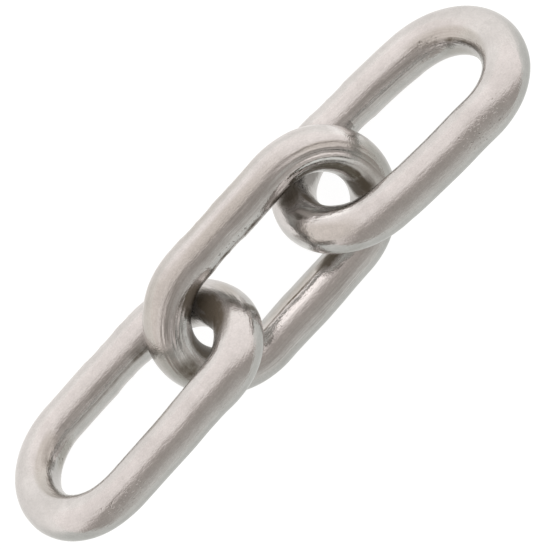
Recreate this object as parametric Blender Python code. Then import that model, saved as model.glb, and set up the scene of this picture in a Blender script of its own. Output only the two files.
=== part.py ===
"""A length of three interlocked links of welded, round-bar stainless steel chain.

Blender 4.5, metres, +Z up, standing on z = 0. The chain runs along X and lies
unheld on the floor: each link rests on one of its straight legs and leans, the
middle link one way and the two end links the other way. The joints are slack,
as photographed. The size is a common one, a 7 mm bar bent to an eye of 32 x 14 mm.
"""

import math

import bmesh
import bpy
from mathutils import Matrix, Vector

BAR_DIAMETER = 0.0070
EYE_LENGTH = 0.0320
EYE_WIDTH = 0.0140

# The bar is swept as a polygon, so that its lower leg rests on a narrow flat strip.
BAR_SIDES = 24
BEND_STEPS = 26

# Radius of the bend's centreline, and half the length of a straight leg.
BEND_RADIUS = (EYE_WIDTH + BAR_DIAMETER) / 2
HALF_LEG = (EYE_LENGTH - EYE_WIDTH) / 2

# Butt weld in one leg: (distance from the weld, share of the full bar radius).
# The bar necks in slightly on both sides of the closed joint.
WELD_PROFILE = ((0.0, 0.985), (0.0007, 0.955), (0.0018, 0.955), (0.0034, 1.0))

# Where each link lies: centre x and y, heading, lean to the floor, weld's place on its leg.
# A positive lean raises the leg on the +Y side and a negative lean the other one.
LINKS = {
    "lower_end_link": (-0.02810, 0.00098, -0.80, -56.39, 0.0030),
    "middle_link": (0.00122, 0.00000, 0.00, 29.22, -0.0032),
    "upper_end_link": (0.02818, -0.00113, -4.83, -53.26, -0.0040),
}
CARRIER = "middle_link"

STEEL = (0.560, 0.530, 0.505, 1.0)
STEEL_ROUGHNESS = 0.30
STEEL_METALLIC = 1.0


def clear_scene():
    for obj in list(bpy.data.objects):
        bpy.data.objects.remove(obj, do_unlink=True)


def steel_material(name):
    material = bpy.data.materials.new(name)
    material.use_nodes = True
    shader = material.node_tree.nodes["Principled BSDF"]
    shader.inputs["Base Color"].default_value = STEEL
    shader.inputs["Roughness"].default_value = STEEL_ROUGHNESS
    shader.inputs["Metallic"].default_value = STEEL_METALLIC
    return material


def bar_section(bm, weld_x, lean):
    """The bar's cut end at the weld, in the leg on the +Y side of the link."""
    half_side = math.pi / BAR_SIDES
    down = abs(lean) - math.pi / 2
    radius = BAR_DIAMETER / 2
    ring = []
    for k in range(BAR_SIDES):
        angle = down + half_side * (2 * k + 1)
        y = BEND_RADIUS + radius * math.cos(angle)
        ring.append(bm.verts.new((weld_x, y, radius * math.sin(angle))))
    return [bm.edges.new((ring[k], ring[(k + 1) % BAR_SIDES])) for k in range(BAR_SIDES)]


def pull_straight(bm, edges, distance):
    """Extrudes the bar's open end along X and returns the new end."""
    made = bmesh.ops.extrude_edge_only(bm, edges=edges)["geom"]
    verts = [item for item in made if isinstance(item, bmesh.types.BMVert)]
    bmesh.ops.translate(bm, verts=verts, vec=(distance, 0, 0))
    return [item for item in made if isinstance(item, bmesh.types.BMEdge)]


def bend_half_circle(bm, edges, centre_x):
    """Bends the bar's open end round half a circle and returns the new end."""
    made = bmesh.ops.spin(
        bm,
        geom=edges,
        cent=(centre_x, 0, 0),
        axis=(0, 0, 1),
        angle=math.pi,
        steps=BEND_STEPS,
        use_duplicate=False,
    )["geom_last"]
    return [item for item in made if isinstance(item, bmesh.types.BMEdge)]


def neck_in_at_weld(bm, weld_x):
    """Scales the rings near the weld towards the leg's centreline."""
    for vert in bm.verts:
        if vert.co.y < 0 or abs(vert.co.x) > HALF_LEG:
            continue
        away = abs(vert.co.x - weld_x)
        share = WELD_PROFILE[-1][1]
        for distance, radius_share in WELD_PROFILE:
            if abs(away - distance) < 1e-6:
                share = radius_share
        vert.co.y = BEND_RADIUS + (vert.co.y - BEND_RADIUS) * share
        vert.co.z *= share


def link_mesh(name, weld_x, lean):
    """One link: a straight bar bent twice to a closed eye and welded in one leg.

    The link lies in its own XY plane with its length along X.
    """
    steps = [far[0] - near[0] for near, far in zip(WELD_PROFILE, WELD_PROFILE[1:])]
    bm = bmesh.new()
    end = bar_section(bm, weld_x, lean)
    for step in steps:
        end = pull_straight(bm, end, -step)
    end = pull_straight(bm, end, -HALF_LEG - weld_x + sum(steps))
    end = bend_half_circle(bm, end, -HALF_LEG)
    end = pull_straight(bm, end, 2 * HALF_LEG)
    end = bend_half_circle(bm, end, HALF_LEG)
    end = pull_straight(bm, end, weld_x - HALF_LEG + sum(steps))
    for step in reversed(steps):
        end = pull_straight(bm, end, -step)
    bmesh.ops.remove_doubles(bm, verts=bm.verts, dist=1e-6)
    neck_in_at_weld(bm, weld_x)
    bmesh.ops.recalc_face_normals(bm, faces=bm.faces)
    mesh = bpy.data.meshes.new(name)
    bm.to_mesh(mesh)
    bm.free()
    for polygon in mesh.polygons:
        polygon.use_smooth = True
    return mesh


def height_on_floor(lean):
    """Height of a leaning link's centre when its lower leg's flat strip is on the floor."""
    flat = BAR_DIAMETER / 2 * math.cos(math.pi / BAR_SIDES)
    return BEND_RADIUS * math.sin(abs(lean)) + flat


def add_link(name, x, y, heading_deg, lean_deg, weld_x):
    lean = math.radians(lean_deg)
    link = bpy.data.objects.new(name, link_mesh(name, weld_x, lean))
    link.location = (x, y, height_on_floor(lean))
    link.rotation_euler = (lean, 0, math.radians(heading_deg))
    link.data.materials.append(steel_material(name + "_steel"))
    bpy.context.collection.objects.link(link)
    return link


def add_pivot(name, link, towards_x):
    """An empty at the centre of the link's bend nearest the carrier, its Z axis the swing's.

    The bend slides round the carrier's end bar, so it swings about its own centre.
    """
    placed = Matrix.LocRotScale(link.location, link.rotation_euler, None)
    side = math.copysign(1, towards_x - link.location.x)
    pivot = bpy.data.objects.new(name, None)
    pivot.empty_display_size = BAR_DIAMETER
    pivot.location = placed @ Vector((side * HALF_LEG, 0, 0))
    pivot.rotation_euler = link.rotation_euler
    bpy.context.collection.objects.link(pivot)
    return pivot


def hang_on(child, parent):
    """Parents the child and leaves it where it is."""
    placed = Matrix.LocRotScale(parent.location, parent.rotation_euler, None)
    child.parent = parent
    child.matrix_parent_inverse = placed.inverted()


clear_scene()
links = {name: add_link(name, *place) for name, place in LINKS.items()}
for name, link in links.items():
    if name == CARRIER:
        continue
    pivot = add_pivot(name + "_swing", link, links[CARRIER].location.x)
    hang_on(link, pivot)
    hang_on(pivot, links[CARRIER])
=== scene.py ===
import math

import bpy
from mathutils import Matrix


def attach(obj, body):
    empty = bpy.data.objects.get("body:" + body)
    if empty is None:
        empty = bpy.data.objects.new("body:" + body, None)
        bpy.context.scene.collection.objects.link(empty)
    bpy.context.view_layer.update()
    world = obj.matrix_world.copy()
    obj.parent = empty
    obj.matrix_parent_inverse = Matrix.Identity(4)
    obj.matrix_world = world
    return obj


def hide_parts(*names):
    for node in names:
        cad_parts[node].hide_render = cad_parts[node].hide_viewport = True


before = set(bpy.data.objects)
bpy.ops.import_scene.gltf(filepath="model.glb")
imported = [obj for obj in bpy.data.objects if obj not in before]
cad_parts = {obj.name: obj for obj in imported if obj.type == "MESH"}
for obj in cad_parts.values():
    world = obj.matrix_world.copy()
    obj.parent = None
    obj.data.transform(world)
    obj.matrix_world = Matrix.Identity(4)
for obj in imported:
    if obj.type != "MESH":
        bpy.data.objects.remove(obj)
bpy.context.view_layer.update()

scene = bpy.context.scene


# Camera
# The chain was photographed from almost straight above with a long lens, its
# length running from the lower left of the picture to the upper right. Place and turn
# come from fitting three ideal links to the photo's outline, and the lens was picked
# from several that were tried in that fit.
CAMERA_PLACE = (-0.015104, 0.066451, 0.596221)
CAMERA_TURN_DEG = (-3.2803, -5.9503, -48.5592)
CAMERA_LENS_MM = 261.82
CAMERA_SENSOR_MM = 36.0
CAMERA_NEAREST = 0.01

camera_data = bpy.data.cameras.new("long_lens")
camera_data.lens = CAMERA_LENS_MM
camera_data.sensor_width = CAMERA_SENSOR_MM
camera_data.clip_start = CAMERA_NEAREST
camera = bpy.data.objects.new("camera", camera_data)
camera.location = CAMERA_PLACE
camera.rotation_euler = [math.radians(a) for a in CAMERA_TURN_DEG]
scene.collection.objects.link(camera)
scene.camera = camera


# Floor and light
# A white lit table top, one broad soft light on the side of the middle link's
# raised leg, and dim surroundings on the other side.
FLOOR_SIZE = 4.0
TABLE_ROUGHNESS = 0.5
TABLE_GLOSS = 0.2
# The table top as the camera sees it, and as the steel reflects it: colour and sheen.
TABLE_SEEN = (0.20, 0.20, 0.20, 1.0)
TABLE_REFLECTED = (0.14, 0.14, 0.138, 1.0)
TABLE_REFLECTED_SHEEN = 0.8
# Its glow: even as seen, and as reflected brighter on the side of the soft light.
GLOW_SEEN = (0.92, 0.92, 0.92, 1.0)
GLOW_REFLECTED = [
    (-0.014, (0.650, 0.665, 0.645, 1.0)),
    (0.014, (1.02, 0.985, 0.965, 1.0)),
]
GLOW_REACH = 0.02


class Wire:
    """A node's output. Sums written with wires add Math nodes to the sheet."""

    def __init__(self, sheet, socket):
        self.sheet = sheet
        self.socket = socket

    def maths(self, operation, *values):
        return self.sheet.add("ShaderNodeMath", {"operation": operation}, values)

    def __add__(self, other):
        return self.maths("ADD", self, other)

    def __sub__(self, other):
        return self.maths("SUBTRACT", self, other)

    def __mul__(self, other):
        return self.maths("MULTIPLY", self, other)

    def __truediv__(self, other):
        return self.maths("DIVIDE", self, other)

    def __radd__(self, other):
        return self.maths("ADD", other, self)

    def __rsub__(self, other):
        return self.maths("SUBTRACT", other, self)

    def __rmul__(self, other):
        return self.maths("MULTIPLY", other, self)

    def __rtruediv__(self, other):
        return self.maths("DIVIDE", other, self)

    def sine(self):
        return self.maths("SINE", self)

    def cosine(self):
        return self.maths("COSINE", self)

    def size(self):
        return self.maths("ABSOLUTE", self)

    def held(self):
        """Held between 0 and 1."""
        return self.maths("MINIMUM", self.maths("MAXIMUM", self, 0.0), 1.0)


class Sheet:
    """A node tree, with one method that adds any node to it."""

    def __init__(self, tree):
        self.tree = tree

    def add(self, kind, settings=None, sockets=(), out=0):
        """Adds a node, makes its settings, then fills or links its sockets."""
        node = self.tree.nodes.new(kind)
        for key, value in (settings or {}).items():
            if key == "stops":
                self.fill_ramp(node.color_ramp, value)
            elif key == "points":
                self.fill_curve(node.mapping, value)
            else:
                setattr(node, key, value)
        pairs = sockets.items() if isinstance(sockets, dict) else enumerate(sockets)
        for key, value in pairs:
            if isinstance(value, Wire):
                self.tree.links.new(value.socket, node.inputs[key])
            elif value is not None:
                node.inputs[key].default_value = value
        return Wire(self, node.outputs[out]) if len(node.outputs) else node

    def fill_ramp(self, ramp, stops):
        while len(ramp.elements) > 1:
            ramp.elements.remove(ramp.elements[-1])
        ramp.elements[0].position, ramp.elements[0].color = stops[0]
        for position, colour in stops[1:]:
            ramp.elements.new(position).color = colour

    def fill_curve(self, mapping, points):
        curve = mapping.curves[0]
        for index, (x, y) in enumerate(points):
            if index < 2:
                curve.points[index].location = (x, y)
            else:
                curve.points.new(x, y)
        mapping.update()


def new_material(name):
    material = bpy.data.materials.new(name)
    material.use_nodes = True
    material.node_tree.nodes.clear()
    return material, Sheet(material.node_tree)


def share_of(value):
    """Brings a number or a wire from between -1 and 1 to between 0 and 1."""
    return value * 0.5 + 0.5


def table_side(sheet, white, sheen, glow):
    return sheet.add(
        "ShaderNodeBsdfPrincipled",
        None,
        {
            "Base Color": white,
            "Metallic": sheen,
            "Roughness": TABLE_ROUGHNESS,
            "Specular IOR Level": TABLE_GLOSS,
            "Emission Color": glow,
            "Emission Strength": 1.0,
        },
    )


table_material, sheet = new_material("lit_table_top")
table_spot = sheet.add("ShaderNodeTexCoord", None, (), "Object")
across = sheet.add("ShaderNodeSeparateXYZ", None, [table_spot], 1) / GLOW_REACH
glow = sheet.add(
    "ShaderNodeValToRGB",
    {"stops": [(share_of(y / GLOW_REACH), colour) for y, colour in GLOW_REFLECTED]},
    [share_of(across)],
)
reflected_side = table_side(sheet, TABLE_REFLECTED, TABLE_REFLECTED_SHEEN, glow)
seen_side = table_side(sheet, TABLE_SEEN, 0.0, GLOW_SEEN)
seen = sheet.add("ShaderNodeLightPath", None, (), "Is Camera Ray")
surface = sheet.add("ShaderNodeMixShader", None, [seen, reflected_side, seen_side])
sheet.add("ShaderNodeOutputMaterial", None, {"Surface": surface})

floor_mesh = bpy.data.meshes.new("table_top")
half = FLOOR_SIZE / 2
floor_mesh.from_pydata(
    [(-half, -half, 0), (half, -half, 0), (half, half, 0), (-half, half, 0)],
    [],
    [(0, 1, 2, 3)],
)
floor = bpy.data.objects.new("table_top", floor_mesh)
floor.data.materials.append(table_material)
scene.collection.objects.link(floor)

# The sky's colour by how far a direction points to the side of the soft light,
# with directions past the two ends of the chain counted as partly on that side.
# Both lists were set after readings of the photo's brightness and colours
# by the direction that the steel reflects there.
END_SHARE = [
    (-1.00, 0.70),
    (-0.80, 0.34),
    (-0.55, 0.13),
    (-0.20, 0.00),
    (0.15, 0.02),
    (0.45, 0.20),
    (0.70, 0.50),
    (0.95, 0.88),
    (1.00, 0.95),
]
SKY_BY_SIDE = [
    (-1.00, (0.79, 0.775, 0.745, 1.0)),
    (-0.86, (0.68, 0.655, 0.625, 1.0)),
    (-0.66, (0.55, 0.515, 0.485, 1.0)),
    (-0.20, (0.505, 0.46, 0.43, 1.0)),
    (0.08, (0.59, 0.535, 0.505, 1.0)),
    (0.26, (0.85, 0.775, 0.745, 1.0)),
    (0.50, (1.17, 1.09, 1.06, 1.0)),
    (0.72, (1.26, 1.17, 1.145, 1.0)),
    (0.92, (1.28, 1.19, 1.165, 1.0)),
    (1.00, (1.34, 1.255, 1.23, 1.0)),
]

world = bpy.data.worlds.new("studio")
world.use_nodes = True
world.node_tree.nodes.clear()
sky = Sheet(world.node_tree)
direction = sky.add("ShaderNodeTexCoord", None, (), 0)
lengthways = sky.add("ShaderNodeSeparateXYZ", None, [direction], 0)
sideways = sky.add("ShaderNodeSeparateXYZ", None, [direction], 1)
end_share = sky.add(
    "ShaderNodeFloatCurve",
    {"points": [(share_of(x), share) for x, share in END_SHARE]},
    {"Value": share_of(lengthways)},
)
side = sideways + end_share
tint = sky.add(
    "ShaderNodeValToRGB",
    {"stops": [(share_of(s), colour) for s, colour in SKY_BY_SIDE]},
    [share_of(side)],
)
light = sky.add("ShaderNodeBackground", None, {"Color": tint, "Strength": 1.0})
sky.add("ShaderNodeOutputWorld", None, {"Surface": light})
scene.world = world
scene.view_settings.view_transform = "Standard"


# The three links
# Each is a straight round stainless bar, bent twice to a closed eye and butt
# welded in one straight leg, then tumbled to a satin finish.
BAR_DIAMETER = 0.0070
EYE_LENGTH = 0.0320
EYE_WIDTH = 0.0140
BEND_RADIUS = (EYE_WIDTH + BAR_DIAMETER) / 2
HALF_LEG = (EYE_LENGTH - EYE_WIDTH) / 2
ONCE_ROUND = 4 * HALF_LEG + 2 * math.pi * BEND_RADIUS
ROLLED_RADIUS = ONCE_ROUND / (2 * math.pi)
BAR_SIDES_IN_SOLID = 24
RINGS = 600
RING_POINTS = 160

# Body, place on the floor, heading and lean of each link, as in the solids. The places,
# headings and leans come from the same fit as the camera's place and turn.
LINKS = {
    "lower_end_link": ("lower_end", -0.02810, 0.00098, -0.80, -56.39),
    "middle_link": ("middle", 0.00122, 0.00000, 0.00, 29.22),
    "upper_end_link": ("upper_end", 0.02818, -0.00113, -4.83, -53.26),
}

# Where the weld is on the leg that carries it, measured from the leg's middle.
WELD_AT = {"lower_end_link": 0.0030, "middle_link": -0.0032, "upper_end_link": -0.0040}
NECK_DEPTH = 0.045
NECK_HALF_LENGTH = 0.0034

# How far each link strays from the ideal, in millimetres at twelve even steps along
# the bar from the end of its welded leg: the sway outwards, and the bar's stoutness.
# These numbers weren't chosen by hand. A fit to the photo's outline gave them, and they
# are rounded to 0.05 mm. Only five didn't come from the fit: the lower end link's sway at
# steps 9 to 11, and its stoutness at steps 10 and 11.
MM = 0.001
SWAY = {
    "lower_end_link": (
        -0.20, 0.15, 0.05, 0.00, 0.10, 0.30,
        0.00, 0.00, -0.30, 0.25, 0.00, -0.25,
    ),
    "middle_link": (
        -0.15, -0.05, 0.10, 0.00, -0.05, -0.10,
        -0.15, 0.10, 0.15, 0.10, 0.05, 0.05,
    ),
    "upper_end_link": (
        -0.05, 0.30, 0.10, -0.10, -0.10, -0.25,
        -0.10, 0.20, -0.10, -0.10, -0.25, -0.25,
    ),
}
STOUT = {
    "lower_end_link": (
        0.00, -0.10, -0.15, -0.05, -0.15, -0.10,
        -0.15, -0.10, 0.00, 0.25, 0.05, 0.05,
    ),
    "middle_link": (
        -0.10, -0.05, -0.05, 0.10, 0.05, 0.05,
        0.05, 0.15, 0.05, 0.05, 0.05, 0.00,
    ),
    "upper_end_link": (
        0.10, 0.00, 0.00, 0.00, 0.00, 0.05,
        0.10, 0.10, 0.10, 0.05, 0.10, 0.15,
    ),
}

# The next lists hold marked places: way along the bar, half the place's length, turn about
# the bar in degrees, half its width in degrees, and strength. The way starts at the end of
# the welded leg. A turn of 0 is the link's outside and 180 the inside of its eye.
# Where small pits are left in the bar's skin:
PITTED = {
    "lower_end_link": [(0.0225, 0.0045, -194, 30, 1.0), (0.0500, 0.0040, -26, 24, 1.0)],
    "middle_link": [(0.0105, 0.0080, -120, 26, 1.0)],
    "upper_end_link": [(0.0988, 0.0050, -150, 30, 1.0), (0.0680, 0.0050, -25, 40, 1.0)],
}
# Where the lines and scores of the drawing die weren't tumbled away:
DRAWN = {
    "lower_end_link": [(0.0870, 0.0060, -86, 30, 1.0), (0.0100, 0.0160, -160, 28, 0.8)],
    "middle_link": [
        (0.0275, 0.0085, -80, 38, 1.0),
        (0.0920, 0.0110, -92, 44, 0.9),
        (0.0580, 0.0160, -86, 34, 0.7),
        (0.0100, 0.0120, -70, 34, 0.5),
    ],
    "upper_end_link": [(0.0000, 0.0180, -150, 34, 0.8)],
}
# Where the steel is darker and rougher:
DULL = {
    "lower_end_link": [
        (0.0335, 0.0095, -134, 24, 1.3),
        (0.0250, 0.0050, -140, 22, 1.6),
        (0.0235, 0.0050, -195, 20, 1.2),
        (0.0620, 0.0050, -116, 16, 1.2),
        (0.0080, 0.0120, -56, 12, 0.8),
        (0.0850, 0.0030, -50, 22, 1.0),
    ],
    "middle_link": [
        (0.0265, 0.0085, -10, 60, 1.0),
        (0.0250, 0.0045, -18, 24, 0.8),
        (0.0335, 0.0055, -66, 44, 0.8),
        (0.0100, 0.0140, -40, 20, 1.2),
        (0.0090, 0.0120, 24, 34, 1.0),
        (0.0860, 0.0045, -60, 70, 0.8),
        (0.0935, 0.0060, -58, 11, 1.0),
        (0.0600, 0.0100, -176, 14, 1.0),
    ],
    "upper_end_link": [
        (0.0415, 0.0055, -48, 30, 1.3),
        (0.0425, 0.0030, 30, 26, 0.9),
        (0.0900, 0.0130, -130, 20, 1.3),
        (0.0880, 0.0090, -186, 24, 1.0),
    ],
}
# Painted highlights and reflections: lighter steel where the bar reflects the white table and
# its neighbours' lit legs:
PAINTED_HIGHLIGHTS = {
    "lower_end_link": [(0.0775, 0.0035, -130, 14, 1.3), (0.0550, 0.0040, -128, 10, 0.8)],
    "middle_link": [
        (0.0212, 0.0054, -112, 24, 1.8),
        (0.0300, 0.0030, -84, 16, 0.8),
        (0.0940, 0.0095, -90, 11, 1.3),
        (0.0900, 0.0026, -10, 34, 1.2),
        (0.0570, 0.0130, -148, 11, 1.5),
    ],
    "upper_end_link": [(0.0405, 0.0065, -100, 18, 1.8), (0.0372, 0.0030, 10, 26, 1.2)],
}
# Grime with painted shade: dark, rough steel on the joints' inner faces, where there is grime
# and where the links shade each other:
GRIMY_AND_SHADED_JOINTS = {
    "lower_end_link": [
        (0.0836, 0.0088, -112, 46, 1.2),
        (0.0848, 0.0042, -160, 24, 1.0),
    ],
    "middle_link": [
        (0.0330, 0.0085, -158, 48, 1.3),
        (0.0830, 0.0030, -130, 40, 1.0),
        (0.0850, 0.0050, -158, 24, 0.7),
        (0.0662, 0.0034, -164, 24, 1.1),
    ],
    "upper_end_link": [(0.0310, 0.0050, -98, 46, 1.1), (0.0395, 0.0095, -150, 27, 1.5)],
}
# Where the links bear on each other, and have worn each other a little hollow:
WORN = {
    "lower_end_link": [(0.0950, 0.0080, -155, 60, 1.0), (0.0765, 0.0080, -155, 60, 1.0)],
    "middle_link": [(0.0292, 0.0085, 128, 60, 1.0), (0.0880, 0.0080, 72, 60, 1.0)],
    "upper_end_link": [(0.0325, 0.0085, -178, 60, 1.0)],
}
# Grime streaks and painted dark reflections: dark lines along the eye's edges, where grime
# runs and where the steel reflects shadowed floor and neighbouring links:
STREAKS_AND_DARK_REFLECTIONS = {
    "lower_end_link": [
        (0.0080, 0.0140, -174, 7, 0.5),
        (0.0025, 0.0022, -162, 18, 0.6),
        (0.0255, 0.0045, -141, 13, 0.4),
        (0.0390, 0.0060, -122, 8, 0.5),
        (0.0470, 0.0070, -111, 6, 0.4),
        (0.0580, 0.0070, -107, 6, 0.4),
        (0.0813, 0.0008, -6, 48, 0.9),
    ],
    "middle_link": [
        (0.0022, 0.0016, -122, 20, 0.8),
        (0.0070, 0.0022, -118, 11, 0.9),
        (0.0130, 0.0018, -124, 11, 0.9),
        (0.0163, 0.0018, -122, 11, 0.8),
        (0.0340, 0.0028, -82, 40, 0.8),
        (0.0850, 0.0040, -125, 15, 1.6),
        (0.0900, 0.0050, -119, 14, 1.6),
        (0.0945, 0.0045, -119, 13, 1.6),
        (0.0968, 0.0026, -126, 13, 1.2),
        (0.0874, 0.0011, 0, 28, 0.6),
        (0.0585, 0.0130, -166, 4, 1.0),
    ],
    "upper_end_link": [(0.0900, 0.0120, -147, 8, 0.8)],
}
# Waves that the bending tools pressed in: a marked place, then how many would go once
# round the bar, and their depth. A flank at the marked turn faces the link's outside.
WAVES = {
    "middle_link": [
        (0.0935, 0.0105, -84, 34, 1.0, 16, 0.000115),
        (0.0290, 0.0085, -80, 44, 1.0, 30, 0.000040),
        (0.0100, 0.0110, -70, 40, 1.0, 17, 0.000014),
    ]
}

# What the finish reads from the link, by the name that each mark is stored under. Hollows
# and waves are only shapes, so they aren't stored.
MARKS = {
    "pitted": PITTED,
    "drawn": DRAWN,
    "rubbed": GRIMY_AND_SHADED_JOINTS,
    "dull": DULL,
    "stained": STREAKS_AND_DARK_REFLECTIONS,
    "bright": PAINTED_HIGHLIGHTS,
}

# Unevenness of the skin: how many bumps it has to the metre, and how much detail. The
# pits are the tops of a pattern that is turned askew, stretched, and then cut.
DENTS = (95.0, 1.0)
RIPPLES = (290.0, 1.0)
PITS = (1700.0, 3.0)
PITS_ASKEW = (0.6, 0.5, 0.4)
PIT_CUT = (4.0, 2.0)
# Unevenness drawn out along the bar opens with the share of the bar's way that it is
# measured by: the smaller the share, the longer its grain. The waves wander by the last.
FLOW = (0.25, 330.0, 1.0)
DRAW_LINES = (0.045, 900.0, 2.0)
SCORES = (0.045, 1500.0, 1.0)
WANDER = (0.25, 300.0, 1.0)
WAVE_WANDER = 0.6

# How far the bar has come out of its neck by the way from the weld, whose seam stands up a
# little: from 0, fully necked, to 1, full size.
OUT_OF_NECK = [(0.0, 0.70), (0.2, 0.0), (0.5, 0.08), (1.0, 1.0)]

# The part of a curve's width that goes once round the link. Its points lap over both ends.
ROUND_STARTS = 0.1
ROUND_WIDTH = 0.8


def named_input(tree, name, kind, value):
    socket = tree.interface.new_socket(name, in_out="INPUT", socket_type=kind)
    if value is not None:
        socket.default_value = value


def split(sheet, vector):
    """A vector's first two parts."""
    return [sheet.add("ShaderNodeSeparateXYZ", None, [vector], axis) for axis in (0, 1)]


def noise(sheet, seed, spot, scale, detail, rough=0.5):
    """Noise that runs the same way in all directions."""
    return sheet.add(
        "ShaderNodeTexNoise",
        {"noise_dimensions": "4D"},
        {"Vector": spot, "W": seed, "Scale": scale, "Detail": detail, "Roughness": rough},
    )


def long_noise(sheet, seed, around, rolled, share, *pattern):
    """Noise drawn out along the bar, whose way is rolled up so that no seam shows."""
    spot = sheet.add("ShaderNodeCombineXYZ", None, [*around, rolled[0] * share])
    return noise(sheet, rolled[1] * share + seed, spot, *pattern)


def cut(pattern, stretch, taken_off):
    """The tops of a pattern, held between 0 and 1."""
    return (pattern * stretch - taken_off).held()


def stray_curve(bench, share, steps):
    """A smooth curve that repeats once round the link, through even steps in millimetres."""
    reach = max(abs(step) for step in steps)
    count = len(steps)
    points = [
        (ROUND_STARTS + ROUND_WIDTH * k / count, share_of(steps[k % count] / reach))
        for k in range(-1, count + 2)
    ]
    curve = bench.add(
        "ShaderNodeFloatCurve",
        {"points": points},
        {"Value": share * ROUND_WIDTH + ROUND_STARTS},
    )
    return (curve - 0.5) * (2 * reach * MM)


def marked(way, round_x, round_y, places):
    """1 in the middle of each marked place on the bar, and 0 outside them."""
    total = None
    for at, half_length, turn, half_width, strength in places:
        apart = way.maths("WRAP", way - at, ONCE_ROUND / 2, -ONCE_ROUND / 2) / half_length
        turn = math.radians(turn)
        facing = round_x * math.cos(turn) + round_y * math.sin(turn)
        away = (1 - facing) / (1 - math.cos(math.radians(half_width)))
        spot = (1 - apart * apart).held() * (1 - away).held() * strength
        total = spot if total is None else total + spot
    return total.held()


def kept(bench, geometry, name, kind, value):
    """Keeps a value on the geometry's points as a named attribute."""
    return bench.add(
        "GeometryNodeStoreNamedAttribute",
        {"data_type": kind, "domain": "POINT"},
        {"Geometry": geometry, "Name": name, "Value": value},
    )


def swept_bar(bench, given, node):
    """The bar swept round the link's centreline, which lies in XY, its length along X."""
    half, bend, bar = given["Half leg"], given["Bend radius"], given["Bar radius"]

    # The way along the bar, from the end of the welded leg: leg, bend, leg, bend.
    share = bench.add("GeometryNodeInputIndex") / RINGS
    arc = bend * math.pi
    way = share * (half * 4 + arc * 2)
    first_leg = (way / (half * 2)).held()
    first_bend = ((way - half * 2) / arc).held()
    second_leg = ((way - half * 2 - arc) / (half * 2)).held()
    second_bend = ((way - half * 4 - arc) / arc).held()
    centre = half * (1 - 2 * first_leg + 2 * second_leg)
    angle = (0.5 + first_bend + second_bend) * math.pi
    reach = bend + stray_curve(bench, share, SWAY[node])
    place = bench.add(
        "ShaderNodeCombineXYZ",
        None,
        [centre + reach * angle.cosine(), reach * angle.sine()],
    )

    from_weld = (way - (half - given["Weld at"])).size() / NECK_HALF_LENGTH
    out_of_neck = bench.add(
        "ShaderNodeFloatCurve", {"points": OUT_OF_NECK}, {"Value": from_weld.held()}
    )
    stout = 1 + stray_curve(bench, share, STOUT[node]) / bar
    stout = stout - (1 - out_of_neck) * given["Neck depth"]

    path = bench.add(
        "GeometryNodeCurvePrimitiveCircle",
        {"mode": "RADIUS"},
        {"Resolution": RINGS, "Radius": 1.0},
    )
    path = bench.add("GeometryNodeSetPosition", None, {"Geometry": path, "Position": place})
    path = bench.add("GeometryNodeSetCurveNormal", {"mode": "Z_UP"}, {"Curve": path})
    path = kept(bench, path, "along", "FLOAT", way)
    section = bench.add(
        "GeometryNodeCurvePrimitiveCircle",
        {"mode": "RADIUS"},
        {"Resolution": RING_POINTS, "Radius": bar},
    )
    around = bench.add("GeometryNodeInputPosition")
    section = kept(bench, section, "around", "FLOAT_VECTOR", around)
    return bench.add(
        "GeometryNodeCurveToMesh",
        None,
        {"Curve": path, "Profile Curve": section, "Scale": stout},
    )


def worked_skin(bench, given, node, link):
    """Dents, lines, scores, waves, pits and hollows, all pushed along the skin's normal."""
    seed = given["Seed"]
    way, around = (
        bench.add("GeometryNodeInputNamedAttribute", {"data_type": kind}, [name])
        for name, kind in (("along", "FLOAT"), ("around", "FLOAT_VECTOR"))
    )
    around = split(bench, around)
    round_x, round_y = (part / given["Bar radius"] for part in around)
    spot = bench.add("GeometryNodeInputPosition")

    # The way along the bar, rolled up into a circle, so that no line shows where it closes.
    once = way * (2 * math.pi / ONCE_ROUND)
    rolled = [once.cosine() * ROLLED_RADIUS, once.sine() * ROLLED_RADIUS]

    def all_of(places):
        return marked(way, round_x, round_y, places)

    def uneven(pattern):
        """Noise between -1 and 1."""
        return noise(bench, seed, spot, *pattern) * 2 - 1

    def uneven_along(pattern):
        """The same, drawn out along the bar."""
        return long_noise(bench, seed, around, rolled, *pattern) * 2 - 1

    marks = {name: all_of(places[node]) for name, places in MARKS.items()}
    height = (
        uneven(DENTS) * given["Dent depth"]
        + uneven(RIPPLES) * given["Ripple depth"]
        + uneven_along(FLOW) * given["Flow depth"]
        + uneven_along(DRAW_LINES) * given["Draw line depth"]
        + uneven_along(SCORES) * given["Score depth"] * marks["drawn"]
        - all_of(WORN[node]) * given["Wear depth"]
    )
    turn = round_y.maths("ARCTAN2", round_y, round_x)
    wander = uneven_along(WANDER) * WAVE_WANDER
    for *place, count, depth in WAVES.get(node, []):
        wave = ((turn - math.radians(place[2])) * count + wander).sine()
        height = height - wave * all_of([place]) * depth
    askew = bench.add(
        "ShaderNodeVectorRotate",
        {"rotation_type": "EULER_XYZ"},
        {"Vector": spot, "Rotation": PITS_ASKEW},
    )
    pits = cut(noise(bench, seed, askew, *PITS), *PIT_CUT)
    height = height - pits * given["Pit depth"] * marks["pitted"]

    normal = bench.add("GeometryNodeInputNormal")
    push = bench.add(
        "ShaderNodeVectorMath", {"operation": "SCALE"}, {"Vector": normal, "Scale": height}
    )
    link = bench.add("GeometryNodeSetPosition", None, {"Geometry": link, "Offset": push})
    rolled = bench.add("ShaderNodeCombineXYZ", None, rolled)
    link = kept(bench, link, "rolled", "FLOAT_VECTOR", rolled)
    for name, mark in marks.items():
        link = kept(bench, link, name, "FLOAT", mark)
    return bench.add("GeometryNodeSetShadeSmooth", None, {"Geometry": link})


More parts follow.
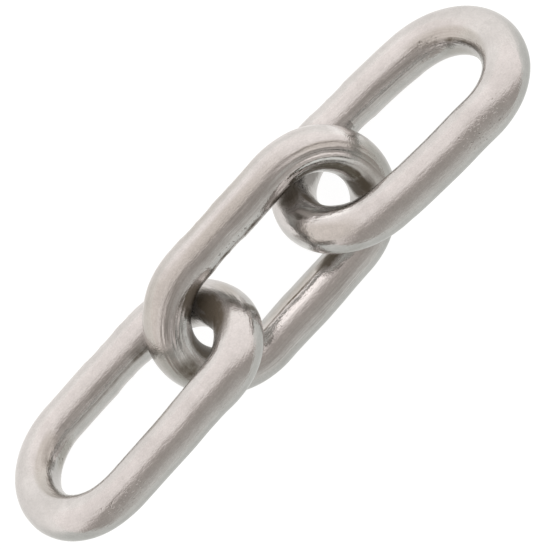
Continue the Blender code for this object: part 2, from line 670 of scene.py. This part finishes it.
def bent_link_tree(node):
    """The link bent and welded from round bar, worked and worn, and laid on the floor."""
    tree = bpy.data.node_groups.new("bent_and_welded_" + node, "GeometryNodeTree")
    tree.interface.new_socket("Geometry", in_out="OUTPUT", socket_type="NodeSocketGeometry")
    named_input(tree, "Half leg", "NodeSocketFloat", HALF_LEG)
    named_input(tree, "Bend radius", "NodeSocketFloat", BEND_RADIUS)
    named_input(tree, "Bar radius", "NodeSocketFloat", BAR_DIAMETER / 2)
    named_input(tree, "Weld at", "NodeSocketFloat", 0.0)
    named_input(tree, "Neck depth", "NodeSocketFloat", NECK_DEPTH)
    named_input(tree, "Dent depth", "NodeSocketFloat", 0.000070)
    named_input(tree, "Ripple depth", "NodeSocketFloat", 0.000022)
    named_input(tree, "Flow depth", "NodeSocketFloat", 0.000045)
    named_input(tree, "Draw line depth", "NodeSocketFloat", 0.000014)
    named_input(tree, "Score depth", "NodeSocketFloat", 0.000015)
    named_input(tree, "Pit depth", "NodeSocketFloat", 0.000040)
    named_input(tree, "Wear depth", "NodeSocketFloat", 0.000130)
    named_input(tree, "Seed", "NodeSocketFloat", 1.0)
    named_input(tree, "Place", "NodeSocketVector", (0, 0, 0))
    named_input(tree, "Turn", "NodeSocketRotation", None)
    named_input(tree, "Steel", "NodeSocketMaterial", None)
    bench = Sheet(tree)
    entry = tree.nodes.new("NodeGroupInput")
    given = {s.name: Wire(bench, s) for s in entry.outputs if s.name}
    link = worked_skin(bench, given, node, swept_bar(bench, given, node))

    # The link is turned and laid in its place, and none of it goes below the floor.
    link = bench.add(
        "GeometryNodeTransform",
        None,
        {"Geometry": link, "Translation": given["Place"], "Rotation": given["Turn"]},
    )
    laid = bench.add("GeometryNodeInputPosition")
    rested = bench.add(
        "ShaderNodeVectorMath", {"operation": "MAXIMUM"}, [laid, (-FLOOR_SIZE, -FLOOR_SIZE, 0)]
    )
    link = bench.add("GeometryNodeSetPosition", None, {"Geometry": link, "Position": rested})
    link = bench.add("GeometryNodeRealizeInstances", None, {"Geometry": link})
    link = bench.add(
        "GeometryNodeSetMaterial", None, {"Geometry": link, "Material": given["Steel"]}
    )
    exit_node = tree.nodes.new("NodeGroupOutput")
    tree.links.new(link.socket, exit_node.inputs["Geometry"])
    return tree


def grown(name, tree, values):
    """Runs the tree on an empty mesh and returns the result as a plain mesh object."""
    blank = bpy.data.objects.new(name + "_blank", bpy.data.meshes.new(name + "_blank"))
    scene.collection.objects.link(blank)
    modifier = blank.modifiers.new("nodes", "NODES")
    modifier.node_group = tree
    for item in tree.interface.items_tree:
        if item.in_out == "INPUT" and item.name in values:
            modifier[item.identifier] = values[item.name]
    graph = bpy.context.evaluated_depsgraph_get()
    mesh = bpy.data.meshes.new_from_object(blank.evaluated_get(graph), depsgraph=graph)
    mesh.name = name
    bpy.data.objects.remove(blank, do_unlink=True)
    piece = bpy.data.objects.new(name, mesh)
    scene.collection.objects.link(piece)
    return piece


# The steel's colours: tumbled, worn by handling, darker, a painted highlight, then grime
# that also paints shade and dark reflections, and the dark floor of pits and hairlines.
STEEL = (0.631, 0.621, 0.610, 1.0)
STEEL_WORN = (0.513, 0.501, 0.488, 1.0)
STEEL_DULL = (0.42, 0.402, 0.370, 1.0)
# A painted highlight colour, lighter than the steel.
PAINTED_HIGHLIGHT_STEEL = (0.76, 0.750, 0.738, 1.0)
# Dark grime, which also paints shade and dark reflections where the links meet.
GRIME_AND_PAINTED_SHADE = (0.072, 0.055, 0.030, 1.0)
PIT_FLOOR = (0.20, 0.185, 0.165, 1.0)

# The finish's patterns: how many bumps to the metre, how much detail, how rough that is.
PATTERNS = {
    "patches": (210.0, 3.0),
    "smudges": (750.0, 4.0, 0.65),
    "cloud": (900.0, 3.0, 0.6),
    "pocks": (2600.0, 1.5),
    "specks": (2700.0, 3.0, 0.7),
    "mottle": (3600.0, 3.0, 0.7),
    "grain": (4300.0, 2.0),
}
# Those drawn out along the bar open with the share of its way, as above.
LONG_PATTERNS = {
    "lines": (0.03, 3300.0, 3.0, 0.6),
    "hairlines": (0.03, 1900.0, 1.0),
    "dashes": (0.3, 2300.0, 2.0, 0.6),
}
# How far a pattern is stretched, and what is then taken off, so that only its tops show.
WORN_CUT = (1.6, 0.45)
POCK_CUT = (7.0, 4.1)
SPECK_CUT = (6.0, 4.0)
HAIR_SHARPNESS = 13.0
# How marked places are broken up, so that their edges are ragged: the share that shows
# all over, the shares that patterns add, and what is then taken off.
BROKEN_UP = {
    "pitted": (1.6, {}, 0.0),
    "dull": (0.5, {"patches": 1.1}, 0.0),
    "bright": (0.6, {"patches": 0.8}, 0.0),
    "stained": (-0.4, {"lines": 0.9, "smudges": 2.4}, 0.2),
    "rubbed": (0.65, {"smudges": 1.6}, 0.3),
}
# The coats over the tumbled steel, from the lowest up: what shows there, how fully, and
# its colour. Hairlines show mostly where the bar's draw lines are left.
COATS = [
    ("dull", 0.8, STEEL_DULL),
    # A painted highlight.
    ("bright", 1.0, PAINTED_HIGHLIGHT_STEEL),
    ("hairs", 1.0, PIT_FLOOR),
    # Grime streaks and painted dark reflections.
    ("stained", 0.9, GRIME_AND_PAINTED_SHADE),
    # Grime with painted shade at the joints.
    ("rubbed", 0.92, GRIME_AND_PAINTED_SHADE),
    ("sunken", 1.0, PIT_FLOOR),
]
HAIRS = (0.01, {"drawn": 0.40})
SUNKEN = (0.0, {"pits": 0.7, "specks": 0.3})
# How much patterns and marks add to the steel's shade, to its roughness and to its fine
# relief, and what they take from its share of bare metal. What is plain comes first.
SHADE_STRAYS = {"mottle": 0.34, "smudges": 0.26, "lines": 0.08}
ROUGHNESS = (
    0.03,
    {
        "patches": 0.03,
        "cloud": 0.05,
        "lines": 0.03,
        "rubbed": 0.32,
        "dull": 0.08,
        "stained": 0.08,
        "pits": 0.2,
        "specks": 0.2,
    },
)
RELIEF = (
    0.0,
    {"dashes": 0.8, "cloud": 0.34, "grain": 0.35, "pits": -0.9, "specks": -0.15},
)
LINE_RELIEF = (0.15, {"drawn": 0.6})
HAIR_RELIEF = (0.0, {"drawn": 1.2})
RELIEF_HEIGHT = 0.000068
BARE_METAL = (1.0, {"rubbed": -0.75, "stained": -0.25})


def satin_steel(name, seed):
    """Tumbled stainless: long draw lines, fine grain, pits, grime, and painted highlights,
    shade and dark reflections where the links meet.
    """
    material, sheet = new_material(name)

    def attribute(key, out):
        return sheet.add("ShaderNodeAttribute", {"attribute_name": key}, (), out)

    def mixed(share, first, second):
        return sheet.add(
            "ShaderNodeMix", {"data_type": "RGBA"}, {"Factor": share, 6: first, 7: second}, 2
        )

    spot = sheet.add("ShaderNodeTexCoord", None, (), "Object")
    around = split(sheet, attribute("around", "Vector"))
    rolled = split(sheet, attribute("rolled", "Vector"))
    here = {key: attribute(key, "Fac") for key in MARKS}
    for key, pattern in PATTERNS.items():
        here[key] = noise(sheet, seed, spot, *pattern)
    for key, pattern in LONG_PATTERNS.items():
        here[key] = long_noise(sheet, seed, around, rolled, *pattern)

    def added(plain, shares):
        """What is plain, and what patterns and marks add to it by their shares."""
        return sum((here[key] * share for key, share in shares.items()), plain)

    for key, (plain, shares, taken_off) in BROKEN_UP.items():
        here[key] = cut(here[key], added(plain, shares), taken_off)
    here["pits"] = cut(here["pocks"], *POCK_CUT) * here["pitted"]
    here["specks"] = cut(here["specks"], *SPECK_CUT)
    here["sunken"] = added(*SUNKEN).held()
    hair = (1 - (here["hairlines"] - 0.5).size() * HAIR_SHARPNESS).held()
    here["hairs"] = hair * added(*HAIRS)

    colour = mixed(cut(here["patches"], *WORN_CUT), STEEL_WORN, STEEL)
    for key, share, coat in COATS:
        colour = mixed(here[key] * share, colour, coat)
    shade = sum(((here[key] - 0.5) * share for key, share in SHADE_STRAYS.items()), 1.0)
    colour = sheet.add(
        "ShaderNodeVectorMath", {"operation": "SCALE"}, {"Vector": colour, "Scale": shade}
    )
    height = (
        added(*RELIEF)
        + here["lines"] * added(*LINE_RELIEF)
        + here["hairlines"] * added(*HAIR_RELIEF)
    )
    bump = sheet.add(
        "ShaderNodeBump", None, {"Strength": 1.0, "Distance": RELIEF_HEIGHT, "Height": height}
    )
    steel = sheet.add(
        "ShaderNodeBsdfPrincipled",
        None,
        {
            "Base Color": colour,
            "Roughness": added(*ROUGHNESS),
            "Metallic": added(*BARE_METAL).held(),
            "Normal": bump,
        },
    )
    sheet.add("ShaderNodeOutputMaterial", None, {"Surface": steel})
    return material


# Every link has its own grain.
FIRST_SEED = 3.0
NEXT_SEED = 7.0

for number, (node, (body, x, y, heading, lean)) in enumerate(LINKS.items()):
    rest = BAR_DIAMETER / 2 * math.cos(math.pi / BAR_SIDES_IN_SOLID)
    height = BEND_RADIUS * math.sin(math.radians(abs(lean))) + rest
    seed = FIRST_SEED + NEXT_SEED * number
    values = {
        "Weld at": WELD_AT[node],
        "Seed": seed,
        "Place": (x, y, height),
        "Turn": (math.radians(lean), 0.0, math.radians(heading)),
        "Steel": satin_steel("satin_stainless_" + body, seed),
    }
    piece = grown(node + "_bar", bent_link_tree(node), values)
    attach(piece, body)
    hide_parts(node)
